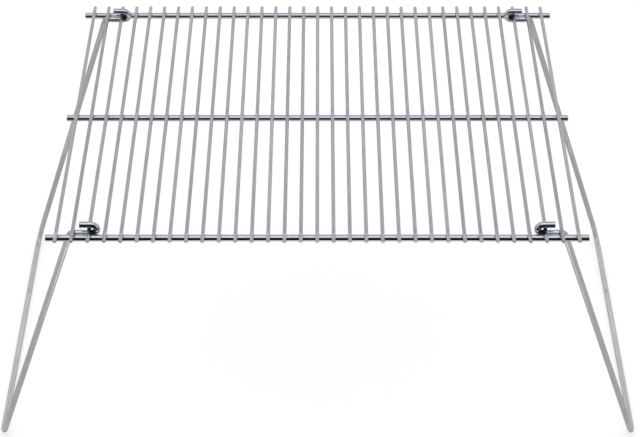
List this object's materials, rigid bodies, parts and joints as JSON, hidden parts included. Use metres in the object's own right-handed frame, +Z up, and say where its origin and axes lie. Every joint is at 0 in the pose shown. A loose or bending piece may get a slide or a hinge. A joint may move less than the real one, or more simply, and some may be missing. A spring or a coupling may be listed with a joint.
{
  "type": "folding campfire grill",
  "caption": "Wire cooking grid for an open fire: thin rods welded across thicker crossbars, with a bent-wire leg hooked on at each side that folds flat underneath.",
  "frame": {"origin": "on the ground, under the middle of the grid, with both legs splayed for use", "axes": "+Z up, +X to the right along the crossbars, +Y to the rear along the rods"},
  "size_m": [0.5942, 0.3042, 0.2955],
  "materials": {
    "crossbar_plating": "bright nickel-chrome plating on round steel wire",
    "rod_plating": "bright plating on thin drawn steel wire, with faint lengthwise draw marks",
    "leg_plating": "bright plating on bent steel wire, with faint lengthwise draw marks"
  },
  "bodies": {
    "grid": {"front_crossbar": "crossbar_plating", "middle_crossbar": "crossbar_plating", "rear_crossbar": "crossbar_plating", "grill_rod_01": "rod_plating", "grill_rod_02": "rod_plating", "grill_rod_03": "rod_plating", "grill_rod_04": "rod_plating", "grill_rod_05": "rod_plating", "grill_rod_06": "rod_plating", "grill_rod_07": "rod_plating", "grill_rod_08": "rod_plating", "grill_rod_09": "rod_plating", "grill_rod_10": "rod_plating", "grill_rod_11": "rod_plating", "grill_rod_12": "rod_plating", "grill_rod_13": "rod_plating", "grill_rod_14": "rod_plating", "grill_rod_15": "rod_plating", "grill_rod_16": "rod_plating", "grill_rod_17": "rod_plating", "grill_rod_18": "rod_plating", "grill_rod_19": "rod_plating", "grill_rod_20": "rod_plating", "grill_rod_21": "rod_plating", "grill_rod_22": "rod_plating", "grill_rod_23": "rod_plating", "grill_rod_24": "rod_plating", "grill_rod_25": "rod_plating", "grill_rod_26": "rod_plating", "grill_rod_27": "rod_plating", "grill_rod_28": "rod_plating", "grill_rod_29": "rod_plating", "grill_rod_30": "rod_plating", "grill_rod_31": "rod_plating", "grill_rod_32": "rod_plating", "grill_rod_33": "rod_plating"},
    "left_leg": {"left_leg": "leg_plating"},
    "right_leg": {"right_leg": "leg_plating"}
  },
  "joints": [
    {"name": "left_leg_fold", "type": "hinge", "parent": "grid", "child": "left_leg", "pos_m": [-0.1813, 0.001, 0.28746], "axis": [0, -1, 0], "range_deg": [0, 109.7]},
    {"name": "right_leg_fold", "type": "hinge", "parent": "grid", "child": "right_leg", "pos_m": [0.1813, 0.001, 0.28746], "axis": [0, 1, 0], "range_deg": [0, 107.3]}
  ]
}
